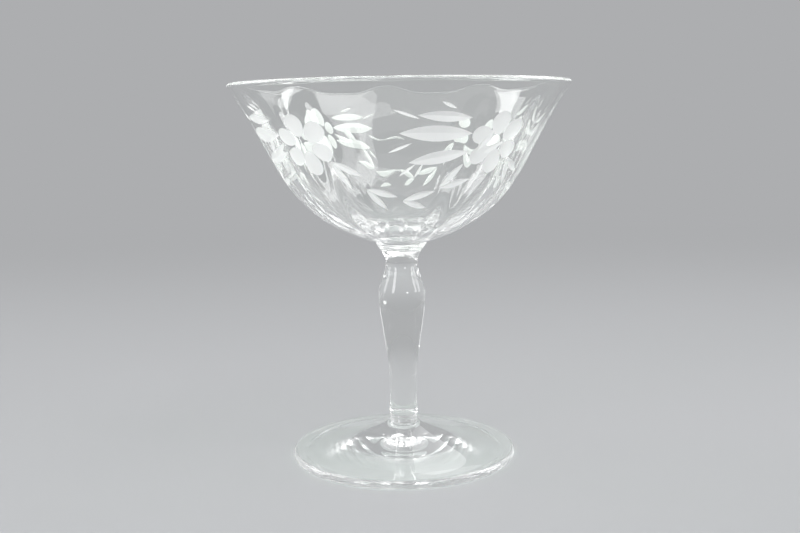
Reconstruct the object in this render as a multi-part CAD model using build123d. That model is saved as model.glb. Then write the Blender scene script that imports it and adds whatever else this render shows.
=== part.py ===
"""Stemmed champagne coupe in clear glass: a blown bowl, a pressed baluster stem and a cast foot.

The three pieces are made separately and fused end to end while hot, so each one has a flat joint face:
the bowl's base sits on the stem's flared head, and the stem's ankle sits on the boss of the foot.

Frame: millimetres, +Z up, origin at the centre of the circle that the foot rests on.
Every piece is a solid of revolution about the Z axis.
"""

from build123d import *
import os

# ---- Driving dimensions, in millimetres ----
OVERALL_HEIGHT = 115.0

# Bowl
LIP_DIAMETER = 102.5  # outermost diameter, at the rounded lip
BOWL_HEIGHT = 48.0  # from the joint with the stem to the top of the lip
LIP_WALL = 1.4  # fire-polished edge, a full round of this width
SIDE_WALL = 1.7  # half way up the side
BELLY_WALL = 2.3  # where the side turns into the bottom
BOWL_FLOOR = 4.0  # on the axis, above the joint

# Shape of the bowl's side: a cubic curve from the joint to the lip, steered by two handles.
BELLY_REACH = 0.70  # lower handle: share of the way out from the joint's radius to the lip's
BELLY_RISE = 0.193  # lower handle: share of the bowl's height above the joint
WAIST_REACH = 0.645  # upper handle: share of the way out
WAIST_RISE = 0.524  # upper handle: share of the bowl's height
BELLY_STATION = 0.28  # share of the side's length where the belly's wall is set
SIDE_STATION = 0.62  # share of the side's length where the side's wall is set

# Stem
HEAD_DIAMETER = 16.2  # flared head, fused to the bowl
HEAD_FLARE = 0.58  # how far the head's side leans out, per millimetre of height
NECK_DIAMETER = 9.7  # narrowest place, just under the head
NECK_DROP = 6.7  # from the joint with the bowl down to the neck
BULB_DIAMETER = 14.4  # the baluster's widest place
BULB_DROP = 16.0  # from the joint with the bowl down to the bulb
TAPER_DIAMETER = 12.0  # on the long taper
TAPER_RISE = 26.9  # from the joint with the foot up to the place of the taper diameter
SHIN_DIAMETER = 8.2  # slimmest place of the taper
SHIN_RISE = 6.4  # from the joint with the foot up to the slimmest place
ANKLE_DIAMETER = 9.1  # small flare where the stem meets the foot
ANKLE_FLARE = 0.15  # how far the ankle's side leans out, per millimetre of height

# Foot
FOOT_DIAMETER = 69.3
FOOT_HEIGHT = 12.8  # from the table to the joint with the stem
BOSS_DIAMETER = 8.2  # raised boss that the stem is fused to
BOSS_LENGTH = 0.9  # straight part of the boss
DOME_DIAMETER = 18.0  # where the boss's hollow fillet has run out into the top
DOME_HEIGHT = 8.2  # of the foot's top there, above the table
SKIRT_DIAMETER = 44.0  # where the top's gentle slope is set
SKIRT_HEIGHT = 4.4  # of the foot's top there, above the table
EDGE_THICKNESS = 2.4  # full-round edge of the foot
REST_RING_WIDTH = 3.0  # flat ring that the glass stands on
HOLLOW_HEIGHT = 3.4  # of the hollow under the foot, on the axis

# ---- Places that follow from them ----
BOWL_JOINT_Z = OVERALL_HEIGHT - BOWL_HEIGHT
FOOT_JOINT_Z = FOOT_HEIGHT
HEAD_RADIUS = HEAD_DIAMETER / 2
BOSS_RADIUS = BOSS_DIAMETER / 2
OUTWARD = Vector(1, 0)
UPWARD = Vector(0, 1)


def turned_solid(outline, name):
    """Revolves a closed outline, drawn with X as radius and Y as height, about the Z axis."""
    face = Plane.XZ * make_face(outline)
    solid = revolve(face, Axis.Z).solid()
    solid.label = name
    return solid


def inward(curve, share, distance):
    """A point at a share of the curve's length, moved square to it towards the bowl's inside."""
    along = curve % share
    return (curve @ share) + Vector(-along.Y, along.X) * distance


def bowl():
    """Thin open cup with a thick floor, a flat joint face below and a rounded lip on top."""
    joint_edge = Vector(HEAD_RADIUS, BOWL_JOINT_Z)
    lip_round = LIP_WALL / 2
    lip_centre = Vector(LIP_DIAMETER / 2 - lip_round, OVERALL_HEIGHT - lip_round)
    span = lip_centre - joint_edge
    belly_handle = joint_edge + Vector(span.X * BELLY_REACH, BOWL_HEIGHT * BELLY_RISE)
    waist_handle = joint_edge + Vector(span.X * WAIST_REACH, BOWL_HEIGHT * WAIST_RISE)
    lip_along = (lip_centre - waist_handle).normalized()
    lip_across = Vector(lip_along.Y, -lip_along.X) * lip_round
    outside = Bezier(joint_edge, belly_handle, waist_handle, lip_centre + lip_across)
    lip = ThreePointArc(outside @ 1, lip_centre + lip_along * lip_round, lip_centre - lip_across)
    floor_top = Vector(0, BOWL_JOINT_Z + BOWL_FLOOR)
    inside = Spline(
        floor_top,
        inward(outside, BELLY_STATION, BELLY_WALL),
        inward(outside, SIDE_STATION, SIDE_WALL),
        lip_centre - lip_across,
        tangents=[OUTWARD, lip_along],
    )
    base = Polyline(floor_top, Vector(0, BOWL_JOINT_Z), joint_edge)
    return turned_solid(outside + lip + inside + base, "bowl")


def stem():
    """Solid baluster: flared head, neck, bulb, long taper and a small flare at the ankle."""
    ankle_edge = Vector(ANKLE_DIAMETER / 2, FOOT_JOINT_Z)
    shin = Vector(SHIN_DIAMETER / 2, FOOT_JOINT_Z + SHIN_RISE)
    taper = Vector(TAPER_DIAMETER / 2, FOOT_JOINT_Z + TAPER_RISE)
    bulb = Vector(BULB_DIAMETER / 2, BOWL_JOINT_Z - BULB_DROP)
    neck = Vector(NECK_DIAMETER / 2, BOWL_JOINT_Z - NECK_DROP)
    head_edge = Vector(HEAD_RADIUS, BOWL_JOINT_Z)
    side = Spline(ankle_edge, shin, taper, bulb, tangents=[Vector(-ANKLE_FLARE, 1), UPWARD])
    side += Spline(bulb, neck, tangents=[UPWARD, UPWARD])
    side += Spline(neck, head_edge, tangents=[UPWARD, Vector(HEAD_FLARE, 1)])
    core = Polyline(head_edge, Vector(0, BOWL_JOINT_Z), Vector(0, FOOT_JOINT_Z), ankle_edge)
    return turned_solid(side + core, "stem")


def foot():
    """Domed disc on a flat resting ring, hollow underneath, with a boss for the stem on top."""
    edge_round = EDGE_THICKNESS / 2
    edge_centre_x = FOOT_DIAMETER / 2 - edge_round
    boss_top = Vector(BOSS_RADIUS, FOOT_JOINT_Z)
    boss_foot = Vector(BOSS_RADIUS, FOOT_JOINT_Z - BOSS_LENGTH)
    edge_top = Vector(edge_centre_x, EDGE_THICKNESS)
    edge_bottom = Vector(edge_centre_x, 0)
    ring_inside = Vector(edge_centre_x - REST_RING_WIDTH, 0)
    hollow_top = Vector(0, HOLLOW_HEIGHT)
    top = Spline(
        boss_foot,
        Vector(DOME_DIAMETER / 2, DOME_HEIGHT),
        Vector(SKIRT_DIAMETER / 2, SKIRT_HEIGHT),
        edge_top,
        tangents=[-UPWARD, OUTWARD],
    )
    edge = ThreePointArc(edge_top, Vector(FOOT_DIAMETER / 2, edge_round), edge_bottom)
    hollow = Spline(ring_inside, hollow_top, tangents=[Vector(-1, 0.2), -OUTWARD])
    ring = Line(edge_bottom, ring_inside)
    core = Polyline(hollow_top, Vector(0, FOOT_JOINT_Z), boss_top, boss_foot)
    return turned_solid(top + edge + ring + hollow + core, "foot")


os.makedirs("parts", exist_ok=True)
for piece in (bowl(), stem(), foot()):
    export_step(piece, f"parts/{piece.label}.step")
    print(piece.label, "volume", round(piece.volume / 1000, 1), "cm3")
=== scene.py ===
"""Champagne coupe in clear glass: a blown bowl with cut flowers, a pressed stem and a cast foot.

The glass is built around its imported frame, in metres, +Z up, on a plain stage. The origin is at the
centre of the circle that the foot rests on.
"""

import math

import bpy
import numpy as np
from bpy.props import FloatProperty, FloatVectorProperty, IntProperty, PointerProperty
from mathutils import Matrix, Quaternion, Vector


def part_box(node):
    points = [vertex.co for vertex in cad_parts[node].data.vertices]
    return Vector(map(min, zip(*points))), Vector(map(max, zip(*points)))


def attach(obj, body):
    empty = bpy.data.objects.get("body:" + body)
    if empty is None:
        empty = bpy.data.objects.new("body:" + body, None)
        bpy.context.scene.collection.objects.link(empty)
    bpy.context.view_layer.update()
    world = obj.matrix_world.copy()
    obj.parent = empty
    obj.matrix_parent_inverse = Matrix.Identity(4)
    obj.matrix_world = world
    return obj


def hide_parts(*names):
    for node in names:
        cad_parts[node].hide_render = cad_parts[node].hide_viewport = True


bl_info = {
    "name": "Champagne coupe",
    "version": (1, 0, 0),
    "blender": (4, 5, 0),
    "location": "View3D > Sidebar > Coupe",
    "description": "Builds a stemmed glass with wheel-cut flowers, and a studio for it",
    "category": "Add Mesh",
}

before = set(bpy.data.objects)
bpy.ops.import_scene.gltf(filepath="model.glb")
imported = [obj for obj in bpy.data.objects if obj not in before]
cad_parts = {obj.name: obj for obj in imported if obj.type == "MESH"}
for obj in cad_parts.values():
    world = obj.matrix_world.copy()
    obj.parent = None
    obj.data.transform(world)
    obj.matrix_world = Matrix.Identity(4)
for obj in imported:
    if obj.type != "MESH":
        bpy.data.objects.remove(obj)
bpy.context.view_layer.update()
MM = 0.001

# Radius of the bowl's side at the height of the flowers, where the flat motif keeps its width.
BAND_RADIUS = 41 * MM
# The leaves that fan out to the left of a flower, in millimetres and degrees: their place from its
# centre, their direction, their length and their width.
FAN = (
    (-16.9, 8.0, -4, 14.0, 3.2),
    (-18.6, 3.0, -1, 19.5, 4.8),
    (-17.2, -4.2, 10, 17.5, 3.8),
    (-16.6, 11.4, -28, 4.4, 1.0),
    (-26.5, 8.8, -24, 7.0, 0.9),
    (-28.2, -1.2, 24, 7.0, 0.9),
    (-26.2, -8.0, 38, 6.0, 0.9),
    (-22.8, -8.2, 62, 5.0, 0.9),
)

FLOWER_TURN = math.radians(38)
LEAF_SPREAD = math.radians(17)
RIDGE_SHARPNESS = 2.5
# Hand-held cuts differ a little: by this much each way, as an angle or a share of the size.
PETAL_SWAY = 0.10
PETAL_VARIATION = 0.08
LEAF_VARIATION = 0.15
# Where a garland begins, hangs lowest and ends, as shares of the angle that it covers.
GARLAND_BEGIN = 0.13
GARLAND_MIDDLE = 0.53
GARLAND_END = 0.90
# How far its ends and its middle handle lie below the flowers, as shares of its sag. The curve
# reaches half way to that handle, so the handle lies nearly twice the sag down.
GARLAND_ENDS_DROP = -0.30
GARLAND_HANDLE_DROP = -1.85
GARLAND_STEPS = 48
# Faces around each piece, and samples along the bowl's side.
BOWL_SEGMENTS = 240
STEM_SEGMENTS = 128
FOOT_SEGMENTS = 192
SWEEP_SEGMENTS = 96
SIDE_SAMPLES = 400
BOWL_INPUTS = {
    "Segments": "Int",
    "Glass": "Material",
    "Ground": "Material",
    "Fused": "Material",
    "Panels": "Int",
    "Panel Depth": "Float",
    "Panel Turn": "Float",
    "Joint": "Vector",
    "Belly": "Vector",
    "Waist": "Vector",
    "Lip": "Vector",
    "Repeats": "Int",
    "Turn": "Float",
    "Flower Place": "Float",
    "Spacing": "Float",
    "Garland Span": "Float",
    "Petals": "Int",
    "Petal Length": "Float",
    "Petal Width": "Float",
    "Petal Reach": "Float",
    "Petal Depth": "Float",
    "Leaf Pairs": "Int",
    "Leaf Length": "Float",
    "Leaf Width": "Float",
    "Leaf Depth": "Float",
    "Sag": "Float",
}

# Handles of the bowl's side: how far out and how far up they lie between the joint and the lip.
BELLY = (0.70, 0.193)
WAIST = (0.645, 0.524)
SIDE_STEPS = 96
# Where the bowl's walls are set, as shares of its side, and how the flared pieces lean.
BELLY_STATION = 0.28
SIDE_STATION = 0.62
HEAD_FLARE = 0.58
ANKLE_FLARE = 0.15
HOLLOW_FALL = 0.2
REST_STATIONS = (0.15, 0.5, 0.85)
# Points along an outline: between points of a curve, and in each rounding.
FINE = 0.4 * MM
MIDDLING = 0.6 * MM
COARSE = 0.8 * MM
LIP_STEPS = 10
CORNER_STEPS = 6
EDGE_STEPS = 16
# Points nearer than this are one point: on the axis of a turned piece, and in a cut.
POLE_GAP = 0.002 * MM
SLIVER = 0.0005 * MM

# A petal is an oval ball, wider at its outer end. The surface meets it at this share of its width.
PETAL_FLARE = 0.18
PETAL_AT_SURFACE = 0.8
PETAL_THICKNESS = 2.5
PETAL_LIFT = 1.5
# The same for a leaf, whose ball has four sides, and how far it grows out from the garland.
LEAF_LENGTH_AT_SURFACE = 0.86
LEAF_WIDTH_AT_SURFACE = 0.74
LEAF_THICKNESS = 1.35
LEAF_LIFT = 0.35
LEAF_ROOT = 0.55

GLASS_IOR = 1.52
# What a lamp's light keeps on its way through polished and through ground glass, and the room's light.
POLISHED_SHADOW = "#EEF2EF"
GROUND_SHADOW = "#D8DBD9"
ROOM_COLOUR = "#F4F6F8"
# The paper fades to its plain colour between these distances from the glass, in metres.
FADE_START = 0.1
FADE_END = 0.7
# The paper's sweep beyond its flat part: distance out and height, in metres.
SWEEP_RISE = ((1.4, 0.22), (2.2, 0.9))
SWEEP_STEP = 0.05
SENSOR_WIDTH = 36
NEAR_CLIP = 0.01

FLAT_FLOOR = 0.6
FLOOR_GAP = 0.15 * MM
ROOM_LIGHT = 0.25
CAMERA_PLACE = (-0.0005, -0.309, 0.1043)
CAMERA_DIP = 8.32
CAMERA_ROLL = 0.8
FOCAL_LENGTH = 45.6
BOUNCES = 128
# Name, place, where it points, size, and power in watts. The ceiling panel is the main light.
# The fill is low and in front, for the cuts, which face down. It lights only what is matt, because it
# is too wide to look well in the polished stem.
FILL = "front_fill"
LAMPS = (
    (FILL, (-0.25, -0.90, 0.16), (0, 0, 0.09), (0.6, 0.22), 4.2),
    ("ceiling_panel", (-0.08, -0.15, 1.05), (-0.05, 0, 0.05), (1.5, 0.9), 2.6),
    ("ceiling_window", (0.42, -0.18, 0.95), (0, 0, 0.08), (0.72, 0.36), 2.2),
    ("left_window", (-0.95, 0.55, 0.95), (0, 0, 0.08), (0.40, 0.9), 5.4),
    ("right_window", (0.95, 0.55, 0.95), (0, 0, 0.08), (0.18, 0.9), 2.8),
    ("left_edge", (-0.95, 0.10, 0.30), (0, 0, 0.02), (0.30, 0.5), 1.6),
    ("right_edge", (0.95, 0.10, 0.30), (0, 0, 0.02), (0.30, 0.5), 1.6),
    ("left_front", (-0.80, -0.80, 0.46), (0, 0, 0.08), (0.3, 0.8), 4.8),
    ("right_front", (1.0, -0.30, 0.46), (0, 0, 0.08), (0.25, 0.8), 3.4),
    ("back_panel", (0.45, 0.95, 1.05), (0, 0, 0.08), (0.9, 0.5), 1.6),
    ("front_glint", (0.42, -0.80, 0.16), (0, 0, 0.09), (0.20, 0.06), 0.5),
)


# ---------------------------------------------------------------- sizes that a user would change


def diameter(node):
    """Outer diameter of a round CAD piece."""
    low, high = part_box(node)
    return high.x - low.x


def lowest(node):
    """Height of a CAD piece's lowest point."""
    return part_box(node)[0].z


def highest(node):
    """Height of a CAD piece's highest point."""
    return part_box(node)[1].z


def length(name, description, millimetres):
    """A length property, with its default given in millimetres."""
    return FloatProperty(
        name=name, description=description, default=millimetres * MM, unit="LENGTH", precision=4
    )


def linear(hex_colour):
    """A colour's linear red, green and blue, from its sRGB hex value."""
    channels = [int(hex_colour[i : i + 2], 16) / 255 for i in (1, 3, 5)]
    return tuple(c / 12.92 if c <= 0.04045 else ((c + 0.055) / 1.055) ** 2.4 for c in channels)


def colour(name, description, hex_colour):
    """A colour property, with its default given as an sRGB hex value."""
    return FloatVectorProperty(
        name=name, description=description, subtype="COLOR", min=0.0, max=1.0, default=linear(hex_colour)
    )


class BowlSettings(bpy.types.PropertyGroup):
    lip_diameter: length("Lip diameter", "Outermost diameter, at the rounded lip", diameter("bowl") / MM)
    joint_height: length("Joint height", "Height of the joint with the stem", lowest("bowl") / MM)
    lip_height: length("Lip height", "Height of the top of the lip", highest("bowl") / MM)
    lip_wall: length("Lip wall", "Width of the fire-polished edge", 1.4)
    side_wall: length("Side wall", "Wall half way up the side", 1.7)
    belly_wall: length("Belly wall", "Wall where the side turns into the bottom", 2.3)
    floor: length("Floor", "Glass above the joint, on the axis", 4.0)
    panels: IntProperty(name="Optic panels", description="Soft upright panels moulded inside", default=12)
    panel_depth: length("Panel depth", "How far a ridge between two panels stands in", 0.45)
    panel_start: length("Panel start", "Below the lip, where the panels have their full depth", 9.0)
    panel_end: length("Panel end", "Radius near the axis, inside which they fade out", 20.0)
    panel_turn: FloatProperty(
        name="Panel turn", description="Angle of the first ridge", default=math.radians(-4), unit="ROTATION"
    )


class CuttingSettings(bpy.types.PropertyGroup):
    repeats: IntProperty(name="Repeats", description="Flowers around the bowl", default=4)
    turn: FloatProperty(
        name="Turn", description="Angle of the first flower", default=math.radians(39.2), unit="ROTATION"
    )
    spacing: FloatProperty(
        name="Spacing",
        description="Angle from one flower to the next; set out by eye, the last gap takes what is left",
        default=math.radians(93.9),
        unit="ROTATION",
    )
    garland_span: FloatProperty(
        name="Garland span",
        description="Angle that a garland covers",
        default=math.radians(76),
        unit="ROTATION",
    )
    height: length("Height", "Height of the flowers' centres above the table", 97.6)
    petals: IntProperty(name="Petals", description="Petals of one flower", default=6)
    petal_length: length("Petal length", "Length of the oval cut", 7.2)
    petal_width: length("Petal width", "Width of the oval cut", 5.8)
    petal_reach: length("Petal reach", "From the flower's centre to the middle of a petal", 5.9)
    petal_depth: length("Petal depth", "Depth of the oval cut", 0.34)
    leaf_pairs: IntProperty(name="Leaf pairs", description="Pairs of leaves along one garland", default=5)
    leaf_length: length("Leaf length", "Length of a garland leaf", 10.5)
    leaf_width: length("Leaf width", "Width of a garland leaf", 2.3)
    leaf_depth: length("Leaf depth", "Depth of a leaf's groove along its rib", 0.4)
    sag: length("Garland sag", "How far the garland hangs below the flowers", 17.0)


class StemSettings(bpy.types.PropertyGroup):
    head_diameter: length("Head", "Flared head, fused to the bowl", diameter("stem") / MM)
    neck_diameter: length("Neck", "Narrowest place, under the head", 9.7)
    neck_drop: length("Neck drop", "From the head down to the neck", 6.7)
    bulb_diameter: length("Bulb", "The baluster's widest place", 14.4)
    bulb_drop: length("Bulb drop", "From the head down to the bulb", 16.0)
    taper_diameter: length("Taper", "Diameter on the long taper", 12.0)
    taper_rise: length("Taper rise", "From the foot up to that place on the taper", 26.9)
    shin_diameter: length("Shin", "Slimmest place of the taper", 8.2)
    shin_rise: length("Shin rise", "From the foot up to the shin", 6.4)
    ankle_diameter: length("Ankle", "Small flare above the foot", 9.1)
    corner: length("Corner", "Rounding of the ankle's lower edge, which ends outside the boss", 0.4)


class FootSettings(bpy.types.PropertyGroup):
    foot_diameter: length("Foot diameter", "Diameter of the full-round edge", diameter("foot") / MM)
    boss_diameter: length("Boss", "Raised boss that the stem is fused to", 8.2)
    boss_side: length("Boss side", "Height of the boss's upright side", 0.9)
    dome_diameter: length("Dome", "Diameter of the dome's shoulder", 18.0)
    dome_height: length("Dome height", "Height of the dome's shoulder", 8.2)
    skirt_diameter: length("Skirt", "Diameter where the dome has run out", 44.0)
    skirt_height: length("Skirt height", "Height of the top face there", 4.4)
    edge: length("Edge", "Thickness of the full-round edge", 2.4)
    rest_width: length("Resting ring", "Width of the flat ring that it stands on", 3.0)
    hollow: length("Hollow", "Height of the hollow under the foot", 3.4)


class GlassSettings(bpy.types.PropertyGroup):
    polished: colour("Polished glass", "Tint that light takes at each polished surface", "#FDFEFD")
    ground: colour("Ground glass", "Colour of the wheel-ground cuts", "#F8F9F8")


class StageSettings(bpy.types.PropertyGroup):
    backdrop: colour("Backdrop", "Colour of the floor and backdrop", "#ADAEB0")


# ---------------------------------------------------------------- outlines


def smooth_curve(stations, start, end, step):
    """Points of the smoothest cubic curve through the stations, with a direction at each end."""
    points = np.array(stations, float)
    chords = np.linalg.norm(np.diff(points, axis=0), axis=1)
    slopes = np.zeros_like(points)
    slopes[0] = np.array(start) / np.linalg.norm(start)
    slopes[-1] = np.array(end) / np.linalg.norm(end)
    inner = len(points) - 2
    if inner:
        matrix = np.zeros((inner, inner))
        right = np.zeros((inner, 2))
        for i in range(inner):
            before, after = chords[i], chords[i + 1]
            matrix[i, i] = 2 / before + 2 / after
            if i:
                matrix[i, i - 1] = 1 / before
            if i < inner - 1:
                matrix[i, i + 1] = 1 / after
            ahead, behind = points[i + 2] - points[i + 1], points[i + 1] - points[i]
            right[i] = 3 * (ahead / after**2 + behind / before**2)
        right[0] -= slopes[0] / chords[0]
        right[-1] -= slopes[-1] / chords[-1]
        slopes[1:-1] = np.linalg.solve(matrix, right)
    made = [points[0]]
    for i, chord in enumerate(chords):
        steps = max(2, round(chord / step))
        for t in np.linspace(0, 1, steps + 1)[1:]:
            made.append(
                points[i] * (2 * t**3 - 3 * t**2 + 1)
                + slopes[i] * chord * (t**3 - 2 * t**2 + t)
                + points[i + 1] * (3 * t**2 - 2 * t**3)
                + slopes[i + 1] * chord * (t**3 - t**2)
            )
    return made


def bezier(handles, steps):
    """Points of a cubic curve between the first and last of four handles."""
    a, b, c, d = (np.array(h, float) for h in handles)
    return [
        a * (1 - t) ** 3 + b * 3 * t * (1 - t) ** 2 + c * 3 * t**2 * (1 - t) + d * t**3
        for t in np.linspace(0, 1, steps + 1)
    ]


def arc(centre, radius, first, last, steps):
    """Points of an arc between two angles in degrees, its ends included."""
    angles = np.radians(np.linspace(first, last, steps + 1))
    return [np.array(centre) + radius * np.array([math.cos(a), math.sin(a)]) for a in angles]


def bowl_handles(bowl):
    """Handles of the bowl's outer side, from the joint to the lip, and the lip's centre and direction."""
    joint = np.array([diameter("stem") / 2, bowl.joint_height])
    round_radius = bowl.lip_wall / 2
    centre = np.array([bowl.lip_diameter / 2 - round_radius, bowl.lip_height - round_radius])
    span = np.array([centre[0] - joint[0], bowl.lip_height - bowl.joint_height])
    belly = joint + span * BELLY
    waist = joint + span * WAIST
    along = (centre - waist) / np.linalg.norm(centre - waist)
    across = np.array([along[1], -along[0]]) * round_radius
    return [joint, belly, waist, centre + across], centre, along


def bowl_outline(bowl):
    """The bowl's outline: from the joint's centre, up the outside, over the lip, down to the floor."""
    handles, centre, along = bowl_handles(bowl)
    outside = bezier(handles, SIDE_STEPS)
    leaning = math.degrees(math.atan2(along[1], along[0]))
    lip = arc(centre, bowl.lip_wall / 2, leaning - 90, leaning + 90, LIP_STEPS)
    places = []
    for share, wall in ((BELLY_STATION, bowl.belly_wall), (SIDE_STATION, bowl.side_wall)):
        i = round(share * SIDE_STEPS)
        slope = outside[i + 1] - outside[i - 1]
        slope = slope / np.linalg.norm(slope)
        places.append(outside[i] + np.array([-slope[1], slope[0]]) * wall)
    floor_top = [0, bowl.joint_height + bowl.floor]
    inside = smooth_curve([lip[-1], places[1], places[0], floor_top], -along, (-1, 0), MIDDLING)
    inside[-1][0] = 0
    outline = [np.array([0, bowl.joint_height])] + outside + lip[1:] + inside[1:]
    fused = [1, 1] + [0] * (len(outline) - 2)
    # The optic panels are on the inside only. They begin below the lip and run out near the axis.
    optic = [0.0] * len(outline)
    for i in range(len(outline) - len(inside) + 1, len(outline)):
        below_lip = (bowl.lip_height - outline[i][1]) / bowl.panel_start
        off_axis = outline[i][0] / bowl.panel_end
        optic[i] = smooth_step(below_lip) * smooth_step(off_axis)
    return outline, fused, optic


def smooth_step(x):
    """0 below 0, 1 above 1, and an easy rise between."""
    x = min(1.0, max(0.0, x))
    return x * x * (3 - 2 * x)


def stem_outline(stem, boss_diameter):
    """The stem's outline: from the centre of the joint with the foot, up the side, to its head's."""
    low, high = lowest("stem"), highest("stem")
    ankle = stem.ankle_diameter / 2
    shin = (stem.shin_diameter / 2, low + stem.shin_rise)
    taper = (stem.taper_diameter / 2, low + stem.taper_rise)
    bulb = (stem.bulb_diameter / 2, high - stem.bulb_drop)
    neck = (stem.neck_diameter / 2, high - stem.neck_drop)
    head = (stem.head_diameter / 2, high)
    start = arc((ankle - stem.corner, low + stem.corner), stem.corner, -90, 0, CORNER_STEPS)
    side = smooth_curve([start[-1], shin, taper, bulb], (-ANKLE_FLARE, 1), (0, 1), MIDDLING)
    side += smooth_curve([bulb, neck], (0, 1), (0, 1), FINE)[1:]
    side += smooth_curve([neck, head], (0, 1), (HEAD_FLARE, 1), FINE)[1:]
    outline = [np.array([0, low]), np.array([boss_diameter / 2, low])] + start + side[1:]
    outline.append(np.array([0, high]))
    fused = [1, 1] + [0] * (len(outline) - 4) + [1, 1]
    return outline, fused, [0.0] * len(outline)


def foot_outline(foot):
    """The foot's outline from the hollow's centre, out to the edge and back up to the centre of the boss."""
    boss, top = foot.boss_diameter / 2, highest("foot")
    edge = foot.edge / 2
    edge_x = foot.foot_diameter / 2 - edge
    ring = edge_x - foot.rest_width
    under = smooth_curve([(0, foot.hollow), (ring, 0)], (1, 0), (1, -HOLLOW_FALL), COARSE)
    flat = [np.array([ring + share * foot.rest_width, 0]) for share in REST_STATIONS]
    rim = arc((edge_x, edge), edge, -90, 90, EDGE_STEPS)
    skirt = (foot.skirt_diameter / 2, foot.skirt_height)
    dome = (foot.dome_diameter / 2, foot.dome_height)
    shoulder = (boss, top - foot.boss_side)
    over = smooth_curve([rim[-1], skirt, dome, shoulder], (-1, 0), (0, 1), MIDDLING)
    outline = under + flat + rim + over[1:] + [np.array([boss, top]), np.array([0, top])]
    outline[0][0] = 0
    fused = [0] * (len(outline) - 2) + [1, 1]
    return outline, fused, [0.0] * len(outline)


# ---------------------------------------------------------------- node helpers


def add(tree, kind, inputs=None, **settings):
    """Adds a node with its settings; inputs maps sockets to values, or to what feeds them."""
    node = tree.nodes.new(kind)
    for name, value in settings.items():
        setattr(node, name, value)
    for key, value in (inputs or {}).items():
        for source in value if isinstance(value, list) else [value]:
            if isinstance(source, bpy.types.Node):
                source = next(o for o in source.outputs if o.enabled)
            if isinstance(source, bpy.types.NodeSocket):
                tree.links.new(source, node.inputs[key])
            else:
                node.inputs[key].default_value = source
    return node


def new_tree(name, sizes):
    """A geometry tree with a named input for each size, and its input node."""
    tree = bpy.data.node_groups.new(name, "GeometryNodeTree")
    tree.interface.new_socket("Geometry", in_out="INPUT", socket_type="NodeSocketGeometry")
    tree.interface.new_socket("Geometry", in_out="OUTPUT", socket_type="NodeSocketGeometry")
    for size, kind in sizes.items():
        tree.interface.new_socket(size, in_out="INPUT", socket_type=f"NodeSocket{kind}")
    return tree, add(tree, "NodeGroupInput")


def plain_piece(name, mesh, tree, values):
    """An object whose mesh is what the tree makes of the given mesh, with no modifier left on it."""
    piece = bpy.data.objects.new(name, mesh)
    bpy.context.scene.collection.objects.link(piece)
    modifier = piece.modifiers.new("Build", "NODES")
    modifier.node_group = tree
    sockets = {item.name: item.identifier for item in tree.interface.items_tree if item.in_out == "INPUT"}
    for size, value in values.items():
        modifier[sockets[size]] = value
    evaluated = piece.evaluated_get(bpy.context.evaluated_depsgraph_get())
    made = bpy.data.meshes.new_from_object(evaluated)
    piece.modifiers.remove(modifier)
    piece.data = made
    made.name = name
    return piece


# ---------------------------------------------------------------- turning an outline

SWEEP_RADIUS = 10 * MM  # any radius does: the outline is drawn as far from this circle as it has to be


def outline_mesh(name, outline, fused, optic):
    """The outline as a chain of edges, laid out as the turning tree sweeps it, with its two marks."""
    mesh = bpy.data.meshes.new(name)
    corners = [(x - SWEEP_RADIUS, -z, 0) for x, z in outline]
    mesh.from_pydata(corners, [(i, i + 1) for i in range(len(corners) - 1)], [])
    for mark, values in (("fused", fused), ("optic", optic)):
        mesh.attributes.new(mark, "FLOAT", "POINT").data.foreach_set("value", values)
    return mesh


def turning_tree():
    """Sweeps an outline around the Z axis and closes its poles."""
    tree, given = new_tree("Turned glass", {"Segments": "Int"})
    outline = add(tree, "GeometryNodeMeshToCurve", {0: given.outputs["Geometry"]})
    circle = add(
        tree,
        "GeometryNodeCurvePrimitiveCircle",
        {"Resolution": given.outputs["Segments"], "Radius": SWEEP_RADIUS},
    )
    swept = add(tree, "GeometryNodeCurveToMesh", {"Curve": circle, "Profile Curve": outline})
    closed = add(tree, "GeometryNodeMergeByDistance", {"Geometry": swept, "Distance": POLE_GAP})
    flipped = add(tree, "GeometryNodeFlipFaces", {0: closed})
    fused = add(tree, "GeometryNodeInputNamedAttribute", {"Name": "fused"}, data_type="FLOAT")
    open_face = add(tree, "FunctionNodeCompare", {0: fused, 1: 0.9}, operation="LESS_THAN")
    shaded = add(tree, "GeometryNodeSetShadeSmooth", {"Geometry": flipped, "Shade Smooth": open_face})
    add(tree, "NodeGroupOutput", {0: shaded})
    return tree


def fused_faces(tree):
    """Selects the faces that another piece is fused to."""
    fused = add(tree, "GeometryNodeInputNamedAttribute", {"Name": "fused"}, data_type="FLOAT")
    return add(tree, "FunctionNodeCompare", {0: fused, 1: 0.9}, operation="GREATER_THAN")


def finishing_tree(turning):
    """Turns an outline and gives it clear glass, and the material of its fused faces."""
    sizes = {"Segments": "Int", "Glass": "Material", "Fused": "Material"}
    tree, given = new_tree("Turned and fused", sizes)
    turned = add(tree, "GeometryNodeGroup", node_tree=turning)
    tree.links.new(given.outputs["Geometry"], turned.inputs["Geometry"])
    tree.links.new(given.outputs["Segments"], turned.inputs["Segments"])
    glass = add(tree, "GeometryNodeSetMaterial", {"Geometry": turned, "Material": given.outputs["Glass"]})
    real = add(tree, "GeometryNodeRealizeInstances", {0: glass})
    sealed = add(
        tree,
        "GeometryNodeSetMaterial",
        {"Geometry": real, "Selection": fused_faces(tree), "Material": given.outputs["Fused"]},
    )
    add(tree, "NodeGroupOutput", {0: sealed})
    return tree


# ---------------------------------------------------------------- the wheel-cut flowers and leaves


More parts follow.
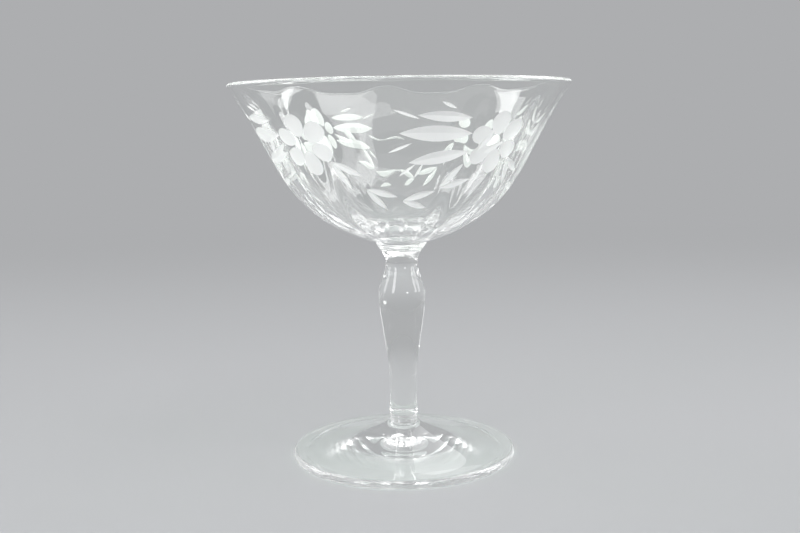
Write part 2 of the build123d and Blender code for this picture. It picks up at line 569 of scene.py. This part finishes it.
def petal_cutter(tree, out):
    """One oval cutter, wider at its outer end, that reaches the petal's depth below the surface."""
    ball = add(tree, "GeometryNodeMeshUVSphere", {"Segments": 24, "Rings": 14, "Radius": 1.0})
    place = add(tree, "GeometryNodeInputPosition")
    parts = add(tree, "ShaderNodeSeparateXYZ", {0: place})
    spread = add(
        tree,
        "ShaderNodeMath",
        {0: parts.outputs["X"], 1: PETAL_FLARE, 2: 1.0},
        operation="MULTIPLY_ADD",
    )
    wide = add(tree, "ShaderNodeMath", {0: parts.outputs["Y"], 1: spread}, operation="MULTIPLY")
    drawn = add(
        tree, "ShaderNodeCombineXYZ", {"X": parts.outputs["X"], "Y": wide, "Z": parts.outputs["Z"]}
    )
    shaped = add(tree, "GeometryNodeSetPosition", {"Geometry": ball, "Position": drawn})
    # The ball's middle stands above the surface, so that its side meets the surface at a slant.
    half = 0.5 / PETAL_AT_SURFACE
    long = add(tree, "ShaderNodeMath", {0: out["Petal Length"], 1: half}, operation="MULTIPLY")
    across = add(tree, "ShaderNodeMath", {0: out["Petal Width"], 1: half}, operation="MULTIPLY")
    thick = add(tree, "ShaderNodeMath", {0: out["Petal Depth"], 1: PETAL_THICKNESS}, operation="MULTIPLY")
    lift = add(tree, "ShaderNodeMath", {0: out["Petal Depth"], 1: PETAL_LIFT}, operation="MULTIPLY")
    scale = add(tree, "ShaderNodeCombineXYZ", {"X": long, "Y": across, "Z": thick})
    raised = add(tree, "ShaderNodeCombineXYZ", {"Z": lift})
    return add(
        tree, "GeometryNodeTransform", {"Geometry": shaped, "Translation": raised, "Scale": scale}
    )


def leaf_cutter(tree, out):
    """One leaf-shaped cutter of unit length and width, with a V-shaped groove that runs out at both tips."""
    ball = add(tree, "GeometryNodeMeshUVSphere", {"Segments": 4, "Rings": 16, "Radius": 1.0})
    lying = add(tree, "GeometryNodeTransform", {"Geometry": ball, "Rotation": (0, math.pi / 2, 0)})
    place = add(tree, "GeometryNodeInputPosition")
    parts = add(tree, "ShaderNodeSeparateXYZ", {0: place})
    along = parts.outputs["X"]
    square = add(tree, "ShaderNodeMath", {0: along, 1: along}, operation="MULTIPLY")
    rest = add(tree, "ShaderNodeMath", {0: 1.0, 1: square}, operation="SUBTRACT", use_clamp=True)
    taper = add(tree, "ShaderNodeMath", {0: rest}, operation="SQRT")
    wide = add(tree, "ShaderNodeMath", {0: parts.outputs["Y"], 1: taper}, operation="MULTIPLY")
    deep = add(tree, "ShaderNodeMath", {0: parts.outputs["Z"], 1: taper}, operation="MULTIPLY")
    drawn = add(tree, "ShaderNodeCombineXYZ", {"X": parts.outputs["X"], "Y": wide, "Z": deep})
    pointed = add(tree, "GeometryNodeSetPosition", {"Geometry": lying, "Position": drawn})
    thick = add(tree, "ShaderNodeMath", {0: out["Leaf Depth"], 1: LEAF_THICKNESS}, operation="MULTIPLY")
    lift = add(tree, "ShaderNodeMath", {0: out["Leaf Depth"], 1: LEAF_LIFT}, operation="MULTIPLY")
    long = 0.5 / LEAF_LENGTH_AT_SURFACE
    across = 0.5 / LEAF_WIDTH_AT_SURFACE
    scale = add(tree, "ShaderNodeCombineXYZ", {"X": long, "Y": across, "Z": thick})
    raised = add(tree, "ShaderNodeCombineXYZ", {"Z": lift})
    return add(
        tree, "GeometryNodeTransform", {"Geometry": pointed, "Translation": raised, "Scale": scale}
    )


def moulded_bowl(tree, turning, out):
    """The turned bowl in clear glass, with its optic panels moulded inside, and its fused face."""
    turned = add(tree, "GeometryNodeGroup", node_tree=turning)
    tree.links.new(out["Geometry"], turned.inputs["Geometry"])
    tree.links.new(out["Segments"], turned.inputs["Segments"])
    parts = add(tree, "ShaderNodeSeparateXYZ", {0: add(tree, "GeometryNodeInputPosition")})
    front = add(tree, "ShaderNodeMath", {0: parts.outputs["Y"], 1: -1.0}, operation="MULTIPLY")
    angle = add(tree, "ShaderNodeMath", {0: parts.outputs["X"], 1: front}, operation="ARCTAN2")
    from_ridge = add(tree, "ShaderNodeMath", {0: angle, 1: out["Panel Turn"]}, operation="SUBTRACT")
    waves = add(tree, "ShaderNodeMath", {0: from_ridge, 1: out["Panels"]}, operation="MULTIPLY")
    wave = add(tree, "ShaderNodeMath", {0: waves}, operation="COSINE")
    above = add(tree, "ShaderNodeMath", {0: wave, 1: 0.5, 2: 0.5}, operation="MULTIPLY_ADD")
    ridge = add(tree, "ShaderNodeMath", {0: above, 1: RIDGE_SHARPNESS}, operation="POWER")
    optic = add(tree, "GeometryNodeInputNamedAttribute", {"Name": "optic"}, data_type="FLOAT")
    here = add(tree, "ShaderNodeMath", {0: ridge, 1: optic}, operation="MULTIPLY")
    push = add(tree, "ShaderNodeMath", {0: here, 1: out["Panel Depth"]}, operation="MULTIPLY")
    normal = add(tree, "GeometryNodeInputNormal")
    inward = add(tree, "ShaderNodeVectorMath", {0: normal, "Scale": push}, operation="SCALE")
    moulded = add(tree, "GeometryNodeSetPosition", {"Geometry": turned, "Offset": inward})
    clear = add(tree, "GeometryNodeSetMaterial", {"Geometry": moulded, "Material": out["Glass"]})
    return add(
        tree,
        "GeometryNodeSetMaterial",
        {"Geometry": clear, "Selection": fused_faces(tree), "Material": out["Fused"]},
    )


def flower(tree, out):
    """One flower of oval cuts around a clear middle, each a little different, as a hand-held cut is."""
    petal = petal_cutter(tree, out)
    ring = add(tree, "GeometryNodeMeshCircle", {"Vertices": out["Petals"], "Radius": out["Petal Reach"]})
    place = add(tree, "ShaderNodeSeparateXYZ", {0: add(tree, "GeometryNodeInputPosition")})
    facing = add(
        tree, "ShaderNodeMath", {0: place.outputs["Y"], 1: place.outputs["X"]}, operation="ARCTAN2"
    )
    sway = add(
        tree, "FunctionNodeRandomValue", {2: -PETAL_SWAY, 3: PETAL_SWAY, "Seed": 4}, data_type="FLOAT"
    )
    swayed = add(tree, "ShaderNodeMath", {0: facing, 1: sway}, operation="ADD")
    small, large = 1 - PETAL_VARIATION, 1 + PETAL_VARIATION
    size = add(tree, "FunctionNodeRandomValue", {2: small, 3: large, "Seed": 7}, data_type="FLOAT")
    petals = add(
        tree,
        "GeometryNodeInstanceOnPoints",
        {
            "Points": ring,
            "Instance": petal,
            "Rotation": add(tree, "ShaderNodeCombineXYZ", {"Z": swayed}),
            "Scale": size,
        },
    )
    return add(tree, "GeometryNodeTransform", {"Geometry": petals, "Rotation": (0, 0, FLOWER_TURN)})


def garland(tree, leaf, out):
    """Leaves in pairs along a line that hangs from one flower towards the next on its right."""
    span = add(tree, "ShaderNodeMath", {0: out["Garland Span"], 1: BAND_RADIUS}, operation="MULTIPLY")
    begin, middle, end = (
        add(tree, "ShaderNodeMath", {0: span, 1: share}, operation="MULTIPLY")
        for share in (GARLAND_BEGIN, GARLAND_MIDDLE, GARLAND_END)
    )
    upper, lower = (
        add(tree, "ShaderNodeMath", {0: out["Sag"], 1: share}, operation="MULTIPLY")
        for share in (GARLAND_ENDS_DROP, GARLAND_HANDLE_DROP)
    )
    hanging = add(
        tree,
        "GeometryNodeCurveQuadraticBezier",
        {
            "Resolution": GARLAND_STEPS,
            "Start": add(tree, "ShaderNodeCombineXYZ", {"X": begin, "Y": upper}),
            "Middle": add(tree, "ShaderNodeCombineXYZ", {"X": middle, "Y": lower}),
            "End": add(tree, "ShaderNodeCombineXYZ", {"X": end, "Y": upper}),
        },
    )
    stations = add(tree, "GeometryNodeResampleCurve", {"Curve": hanging, "Count": out["Leaf Pairs"]})
    rooted = add(tree, "GeometryNodeTransform", {"Geometry": leaf, "Translation": (LEAF_ROOT, 0, 0)})
    heading = add(tree, "ShaderNodeSeparateXYZ", {0: add(tree, "GeometryNodeInputTangent")})
    slant = add(
        tree, "ShaderNodeMath", {0: heading.outputs["Y"], 1: heading.outputs["X"]}, operation="ARCTAN2"
    )
    leaves = []
    short, tall = 1 - LEAF_VARIATION, 1 + LEAF_VARIATION
    for side, seed in ((-LEAF_SPREAD, 1), (LEAF_SPREAD, 2)):
        turned_off = add(tree, "ShaderNodeMath", {0: slant, 1: side}, operation="ADD")
        vary = add(tree, "FunctionNodeRandomValue", {2: short, 3: tall, "Seed": seed}, data_type="FLOAT")
        long = add(tree, "ShaderNodeMath", {0: out["Leaf Length"], 1: vary}, operation="MULTIPLY")
        leaves.append(
            add(
                tree,
                "GeometryNodeInstanceOnPoints",
                {
                    "Points": stations,
                    "Instance": rooted,
                    "Rotation": add(tree, "ShaderNodeCombineXYZ", {"Z": turned_off}),
                    "Scale": add(
                        tree, "ShaderNodeCombineXYZ", {"X": long, "Y": out["Leaf Width"], "Z": 1.0}
                    ),
                },
            )
        )
    return leaves


def wrapped_band(tree, motif, pitch, out):
    """The flat motif repeated along X, and wrapped onto the bowl's outer side."""
    repeats = add(tree, "GeometryNodeMeshLine", {"Count": out["Repeats"], "Offset": (0, 0, 0)})
    index = add(tree, "GeometryNodeInputIndex")
    along = add(tree, "ShaderNodeMath", {0: pitch, 1: index}, operation="MULTIPLY")
    spot = add(tree, "ShaderNodeCombineXYZ", {"X": along})
    spread = add(tree, "GeometryNodeSetPosition", {"Geometry": repeats, "Position": spot})
    band = add(tree, "GeometryNodeInstanceOnPoints", {"Points": spread, "Instance": motif})
    flat = add(tree, "GeometryNodeRealizeInstances", {0: band})
    side = add(
        tree,
        "GeometryNodeCurvePrimitiveBezierSegment",
        {
            "Resolution": SIDE_SAMPLES,
            "Start": out["Joint"],
            "Start Handle": out["Belly"],
            "End Handle": out["Waist"],
            "End": out["Lip"],
        },
    )
    place = add(tree, "ShaderNodeSeparateXYZ", {0: add(tree, "GeometryNodeInputPosition")})
    climb = add(tree, "ShaderNodeMath", {0: place.outputs["Y"], 1: out["Flower Place"]}, operation="ADD")
    on_side = add(
        tree,
        "GeometryNodeSampleCurve",
        {"Curves": side, "Length": climb},
        mode="LENGTH",
        use_all_curves=True,
    )
    slope = add(tree, "ShaderNodeSeparateXYZ", {0: on_side.outputs["Tangent"]})
    down = add(tree, "ShaderNodeMath", {0: slope.outputs["X"], 1: -1.0}, operation="MULTIPLY")
    outward = add(tree, "ShaderNodeCombineXYZ", {"X": slope.outputs["Z"], "Z": down})
    proud = add(tree, "ShaderNodeVectorMath", {0: outward, "Scale": place.outputs["Z"]}, operation="SCALE")
    point = add(tree, "ShaderNodeVectorMath", {0: on_side.outputs["Position"], 1: proud}, operation="ADD")
    share = add(tree, "ShaderNodeMath", {0: place.outputs["X"], 1: BAND_RADIUS}, operation="DIVIDE")
    bearing = add(tree, "ShaderNodeMath", {0: share, 1: out["Turn"]}, operation="ADD")
    # The side is sampled along +X, and the front of the glass faces -Y.
    turn_from_x = add(tree, "ShaderNodeMath", {0: bearing, 1: -math.pi / 2}, operation="ADD")
    wrapped = add(
        tree, "ShaderNodeVectorRotate", {"Vector": point, "Angle": turn_from_x}, rotation_type="Z_AXIS"
    )
    return add(tree, "GeometryNodeSetPosition", {"Geometry": flat, "Position": wrapped})


def cutting_tree(turning):
    """Turns the bowl, moulds its optic panels, and cuts the flowers and leaves into its outside."""
    tree, given = new_tree("Cut bowl", BOWL_INPUTS)
    out = given.outputs
    uncut = moulded_bowl(tree, turning, out)

    # One motif, laid out flat: X around the bowl, Y up its side from the flower's centre, and Z out
    # of the glass.
    pitch = add(tree, "ShaderNodeMath", {0: out["Spacing"], 1: BAND_RADIUS}, operation="MULTIPLY")
    leaf = leaf_cutter(tree, out)
    fan = [
        add(
            tree,
            "GeometryNodeTransform",
            {
                "Geometry": leaf,
                "Translation": (x * MM, y * MM, 0),
                "Rotation": (0, 0, math.radians(turn)),
                "Scale": (long * MM, wide * MM, 1),
            },
        )
        for x, y, turn, long, wide in FAN
    ]
    pieces = [flower(tree, out)] + fan + garland(tree, leaf, out)
    motif = add(tree, "GeometryNodeJoinGeometry", {0: pieces})
    cutters = add(
        tree,
        "GeometryNodeStoreNamedAttribute",
        {"Geometry": wrapped_band(tree, motif, pitch, out), "Name": "ground", "Value": 1.0},
        data_type="FLOAT",
        domain="FACE",
    )

    # The cutters are made one solid, because some overlap, and that is taken out of the wall.
    island = add(tree, "GeometryNodeInputMeshIsland")
    apart = add(
        tree, "GeometryNodeSplitToInstances", {"Geometry": cutters, "Group ID": island}, domain="FACE"
    )
    united = add(tree, "GeometryNodeMeshBoolean", {"Mesh 2": apart}, operation="UNION", solver="MANIFOLD")
    cut = add(
        tree,
        "GeometryNodeMeshBoolean",
        {"Mesh 1": uncut, "Mesh 2": united},
        operation="DIFFERENCE",
        solver="MANIFOLD",
    )

    # The cut leaves a few slivers that are too thin to keep.
    clean = add(tree, "GeometryNodeMergeByDistance", {"Geometry": cut, "Distance": SLIVER})

    # The untouched glass keeps the normals that it had before the cuts.
    before = add(tree, "GeometryNodeInputNormal")
    smooth = add(
        tree,
        "GeometryNodeSampleNearestSurface",
        {"Mesh": uncut, "Value": before.outputs["Normal"]},
        data_type="FLOAT_VECTOR",
    )
    mark = add(tree, "GeometryNodeInputNamedAttribute", {"Name": "ground"}, data_type="FLOAT")
    is_ground = add(tree, "FunctionNodeCompare", {0: mark, 1: 0.5}, operation="GREATER_THAN")
    own = add(tree, "GeometryNodeInputNormal").outputs["True Normal"]
    kept = add(
        tree,
        "GeometryNodeSwitch",
        {"Switch": is_ground, "False": smooth, "True": own},
        input_type="VECTOR",
    )
    finished = add(
        tree,
        "GeometryNodeSetMeshNormal",
        {"Mesh": clean, "Custom Normal": kept},
        mode="FREE",
        domain="CORNER",
    )
    real = add(tree, "GeometryNodeRealizeInstances", {0: finished})
    matt = add(
        tree,
        "GeometryNodeSetMaterial",
        {"Geometry": real, "Selection": is_ground, "Material": out["Ground"]},
    )
    add(tree, "NodeGroupOutput", {0: matt})
    return tree


# ---------------------------------------------------------------- materials


def new_material(name):
    """An empty node material and its tree."""
    material = bpy.data.materials.new(name)
    material.use_nodes = True
    material.node_tree.nodes.clear()
    return material, material.node_tree


def lets_lamps_through(tree, surface, tint):
    """The output of a glass surface whose shadow is as light as real glass gives."""
    path = add(tree, "ShaderNodeLightPath")
    clear = add(tree, "ShaderNodeBsdfTransparent", {"Color": (*linear(tint), 1.0)})
    mixed = add(
        tree, "ShaderNodeMixShader", {0: path.outputs["Is Shadow Ray"], 1: surface, 2: clear}
    )
    add(tree, "ShaderNodeOutputMaterial", {"Surface": mixed})


def polished_glass():
    """Soda-lime glass, fire-polished: clear, with a faint green where thick, and a slightly wavy skin."""
    material, tree = new_material("Soda-lime glass, fire-polished")
    place = add(tree, "ShaderNodeTexCoord")
    # Blown and pressed glass keeps slow waves, about 12 mm across and a few hundredths of a millimetre high.
    waves = add(
        tree,
        "ShaderNodeTexNoise",
        {"Vector": place.outputs["Object"], "Scale": 1 / (12 * MM), "Detail": 1.0, "Roughness": 0.4},
    )
    skin = add(
        tree, "ShaderNodeBump", {"Strength": 0.12, "Distance": 0.05 * MM, "Height": waves.outputs[0]}
    )
    surface = add(
        tree,
        "ShaderNodeBsdfPrincipled",
        {
            "Base Color": (*bpy.context.scene.coupe_glass.polished, 1.0),
            "Roughness": 0.0,
            "IOR": GLASS_IOR,
            "Transmission Weight": 1.0,
            "Normal": skin,
        },
    )
    lets_lamps_through(tree, surface, POLISHED_SHADOW)
    return material


def ground_glass():
    """The same glass where the stone wheel cut it: a fine grey matt, left unpolished."""
    material, tree = new_material("Soda-lime glass, wheel-ground")
    place = add(tree, "ShaderNodeTexCoord")
    # A wheel of about 100 grit leaves scratches near 0.15 mm; they are drawn at 0.35 mm so that they show.
    grit = add(
        tree,
        "ShaderNodeTexNoise",
        {"Vector": place.outputs["Object"], "Scale": 1 / (0.35 * MM), "Detail": 2.0, "Roughness": 0.6},
    )
    scratched = add(
        tree, "ShaderNodeBump", {"Strength": 0.5, "Distance": 0.03 * MM, "Height": grit.outputs[0]}
    )
    surface = add(
        tree,
        "ShaderNodeBsdfPrincipled",
        {
            "Base Color": (*bpy.context.scene.coupe_glass.ground, 1.0),
            "Roughness": 0.5,
            "IOR": GLASS_IOR,
            "Transmission Weight": 0.5,
            "Normal": scratched,
        },
    )
    lets_lamps_through(tree, surface, GROUND_SHADOW)
    return material


def fused_joint():
    """The faces where two pieces were melted together: there is no surface left there, so nothing shows."""
    material, tree = new_material("Fused joint, no surface")
    surface = add(tree, "ShaderNodeBsdfPrincipled", {"Alpha": 0.0})
    add(tree, "ShaderNodeOutputMaterial", {"Surface": surface})
    return material


def seen_directly(tree):
    """1 for what is seen straight on, in a reflection or through glass, and 0 for what only gives light."""
    path = add(tree, "ShaderNodeLightPath")
    seen = path.outputs["Is Camera Ray"]
    for ray in ("Is Glossy Ray", "Is Transmission Ray"):
        seen = add(tree, "ShaderNodeMath", {0: seen, 1: path.outputs[ray]}, operation="MAXIMUM")
    return seen


def backdrop_paper():
    """Matt seamless paper, which fades to its plain colour where it leaves the light around the glass."""
    material, tree = new_material("Seamless paper")
    tone = (*bpy.context.scene.coupe_stage.backdrop, 1.0)
    lit = add(tree, "ShaderNodeBsdfPrincipled", {"Base Color": tone, "Roughness": 0.9})
    plain = add(tree, "ShaderNodeEmission", {"Color": tone, "Strength": 1.0})
    place = add(tree, "ShaderNodeTexCoord")
    away = add(tree, "ShaderNodeVectorMath", {0: place.outputs["Object"]}, operation="LENGTH")
    far = add(
        tree,
        "ShaderNodeMapRange",
        {"Value": away.outputs["Value"], "From Min": FADE_START, "From Max": FADE_END},
        interpolation_type="SMOOTHSTEP",
    )
    share = add(tree, "ShaderNodeMath", {0: far, 1: seen_directly(tree)}, operation="MULTIPLY")
    surface = add(tree, "ShaderNodeMixShader", {0: share, 1: lit, 2: plain})
    add(tree, "ShaderNodeOutputMaterial", {"Surface": surface})
    return material


def room():
    """The world: soft light from all around, and the backdrop's colour where it is seen."""
    world = bpy.data.worlds.new("Room")
    world.use_nodes = True
    tree = world.node_tree
    tree.nodes.clear()
    tone = (*bpy.context.scene.coupe_stage.backdrop, 1.0)
    light = add(
        tree, "ShaderNodeBackground", {"Color": (*linear(ROOM_COLOUR), 1.0), "Strength": ROOM_LIGHT}
    )
    plain = add(tree, "ShaderNodeBackground", {"Color": tone, "Strength": 1.0})
    mixed = add(tree, "ShaderNodeMixShader", {0: seen_directly(tree), 1: light, 2: plain})
    add(tree, "ShaderNodeOutputWorld", {"Surface": mixed})
    return world


MADE = {}


def once(maker):
    """The material or tree that maker makes, made only the first time."""
    if maker not in MADE:
        MADE[maker] = maker()
    return MADE[maker]


# ---------------------------------------------------------------- operators


def hand_over(piece, node):
    """Lets a finished piece stand for its CAD node on the one rigid body."""
    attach(piece, "root")
    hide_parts(node)


class MakeBowl(bpy.types.Operator):
    """Blow the bowl, mould its optic panels and cut its flowers and leaves"""

    bl_idname = "coupe.make_bowl"
    bl_label = "Bowl"

    def execute(self, context):
        bowl, cuts = context.scene.coupe_bowl, context.scene.coupe_cuts
        handles, _, _ = bowl_handles(bowl)
        side = bezier(handles, SIDE_SAMPLES)
        climbed = 0.0
        for before, after in zip(side, side[1:]):
            if after[1] > cuts.height:
                break
            climbed += float(np.linalg.norm(after - before))
        joint, belly, waist, lip = [(h[0], 0, h[1]) for h in handles]
        piece = plain_piece(
            "bowl_glass",
            outline_mesh("bowl_outline", *bowl_outline(bowl)),
            cutting_tree(once(turning_tree)),
            {
                "Segments": BOWL_SEGMENTS,
                "Glass": once(polished_glass),
                "Ground": once(ground_glass),
                "Fused": once(fused_joint),
                "Panels": bowl.panels,
                "Panel Depth": bowl.panel_depth,
                "Panel Turn": bowl.panel_turn,
                "Joint": joint,
                "Belly": belly,
                "Waist": waist,
                "Lip": lip,
                "Flower Place": climbed,
                **{
                    name.replace("_", " ").title(): getattr(cuts, name)
                    for name in CuttingSettings.__annotations__
                    if name != "height"
                },
            },
        )
        hand_over(piece, "bowl")
        return {"FINISHED"}


class MakeStem(bpy.types.Operator):
    """Press the baluster stem"""

    bl_idname = "coupe.make_stem"
    bl_label = "Stem"

    def execute(self, context):
        scene = context.scene
        boss = scene.coupe_foot.boss_diameter
        outline = outline_mesh("stem_outline", *stem_outline(scene.coupe_stem, boss))
        values = {"Segments": STEM_SEGMENTS, "Glass": once(polished_glass), "Fused": once(fused_joint)}
        piece = plain_piece("stem_glass", outline, finishing_tree(once(turning_tree)), values)
        hand_over(piece, "stem")
        return {"FINISHED"}


class MakeFoot(bpy.types.Operator):
    """Cast the domed foot"""

    bl_idname = "coupe.make_foot"
    bl_label = "Foot"

    def execute(self, context):
        outline = outline_mesh("foot_outline", *foot_outline(context.scene.coupe_foot))
        values = {"Segments": FOOT_SEGMENTS, "Glass": once(polished_glass), "Fused": once(fused_joint)}
        piece = plain_piece("foot_glass", outline, finishing_tree(once(turning_tree)), values)
        hand_over(piece, "foot")
        return {"FINISHED"}


class MakeStage(bpy.types.Operator):
    """Lay the seamless backdrop, hang the lamps and set up the camera"""

    bl_idname = "coupe.make_stage"
    bl_label = "Stage"

    def execute(self, context):
        scene = context.scene
        sweep = [np.array([0, 0]), np.array([FLAT_FLOOR, 0])]
        sweep += smooth_curve([(FLAT_FLOOR, 0), *SWEEP_RISE], (1, 0), (0.5, 1), SWEEP_STEP)[1:]
        marks = [0] * len(sweep)
        paper = once(backdrop_paper)
        values = {"Segments": SWEEP_SEGMENTS, "Glass": paper, "Fused": paper}
        floor = plain_piece(
            "floor", outline_mesh("sweep", sweep, marks, marks), finishing_tree(once(turning_tree)), values
        )
        for corner in floor.data.vertices:
            corner.co.z -= FLOOR_GAP
        for name, place, aim, size, power in LAMPS:
            lamp = bpy.data.lights.new(name, "AREA")
            lamp.shape = "RECTANGLE"
            lamp.size, lamp.size_y = size
            lamp.energy = power
            hung = bpy.data.objects.new(name, lamp)
            hung.location = place
            hung.rotation_euler = (Vector(aim) - Vector(place)).to_track_quat("-Z", "Y").to_euler()
            hung.visible_camera = False
            hung.visible_glossy = name != FILL
            hung.visible_transmission = name != FILL
            scene.collection.objects.link(hung)
        scene.world = room()
        lens = bpy.data.cameras.new("camera")
        lens.lens = FOCAL_LENGTH
        lens.sensor_width = SENSOR_WIDTH
        lens.clip_start = NEAR_CLIP
        camera = bpy.data.objects.new("camera", lens)
        camera.location = CAMERA_PLACE
        tilt = Quaternion((1, 0, 0), math.radians(90 - CAMERA_DIP))
        roll = Quaternion((0, 0, -1), math.radians(CAMERA_ROLL))
        camera.rotation_mode = "QUATERNION"
        camera.rotation_quaternion = tilt @ roll
        scene.collection.objects.link(camera)
        scene.camera = camera
        scene.view_settings.view_transform = "Standard"
        # Light runs along inside the glass for many reflections before it gets out.
        scene.cycles.max_bounces = BOUNCES
        scene.cycles.glossy_bounces = BOUNCES
        scene.cycles.transmission_bounces = BOUNCES
        scene.cycles.transparent_max_bounces = BOUNCES
        return {"FINISHED"}


class CoupePanel(bpy.types.Panel):
    """Lists the pieces of the glass and their sizes"""

    bl_idname = "COUPE_PT_pieces"
    bl_label = "Champagne coupe"
    bl_space_type = "VIEW_3D"
    bl_region_type = "UI"
    bl_category = "Coupe"

    def draw(self, context):
        for operator, settings in PIECES:
            box = self.layout.box()
            box.operator(operator.bl_idname)
            for group in settings:
                group = getattr(context.scene, group)
                for name in group.__annotations__:
                    box.prop(group, name)


PIECES = (
    (MakeBowl, ("coupe_bowl", "coupe_cuts", "coupe_glass")),
    (MakeStem, ("coupe_stem",)),
    (MakeFoot, ("coupe_foot",)),
    (MakeStage, ("coupe_stage",)),
)
SETTINGS = {
    "coupe_bowl": BowlSettings,
    "coupe_cuts": CuttingSettings,
    "coupe_stem": StemSettings,
    "coupe_foot": FootSettings,
    "coupe_glass": GlassSettings,
    "coupe_stage": StageSettings,
}
CLASSES = (*SETTINGS.values(), MakeBowl, MakeStem, MakeFoot, MakeStage, CoupePanel)


def register():
    for kind in CLASSES:
        bpy.utils.register_class(kind)
    for name, group in SETTINGS.items():
        setattr(bpy.types.Scene, name, PointerProperty(type=group))


def unregister():
    for name in SETTINGS:
        delattr(bpy.types.Scene, name)
    for kind in reversed(CLASSES):
        bpy.utils.unregister_class(kind)


def main():
    """Builds every piece and the stage."""
    register()
    bpy.ops.coupe.make_bowl()
    bpy.ops.coupe.make_stem()
    bpy.ops.coupe.make_foot()
    bpy.ops.coupe.make_stage()


if __name__ == "__main__":
    main()
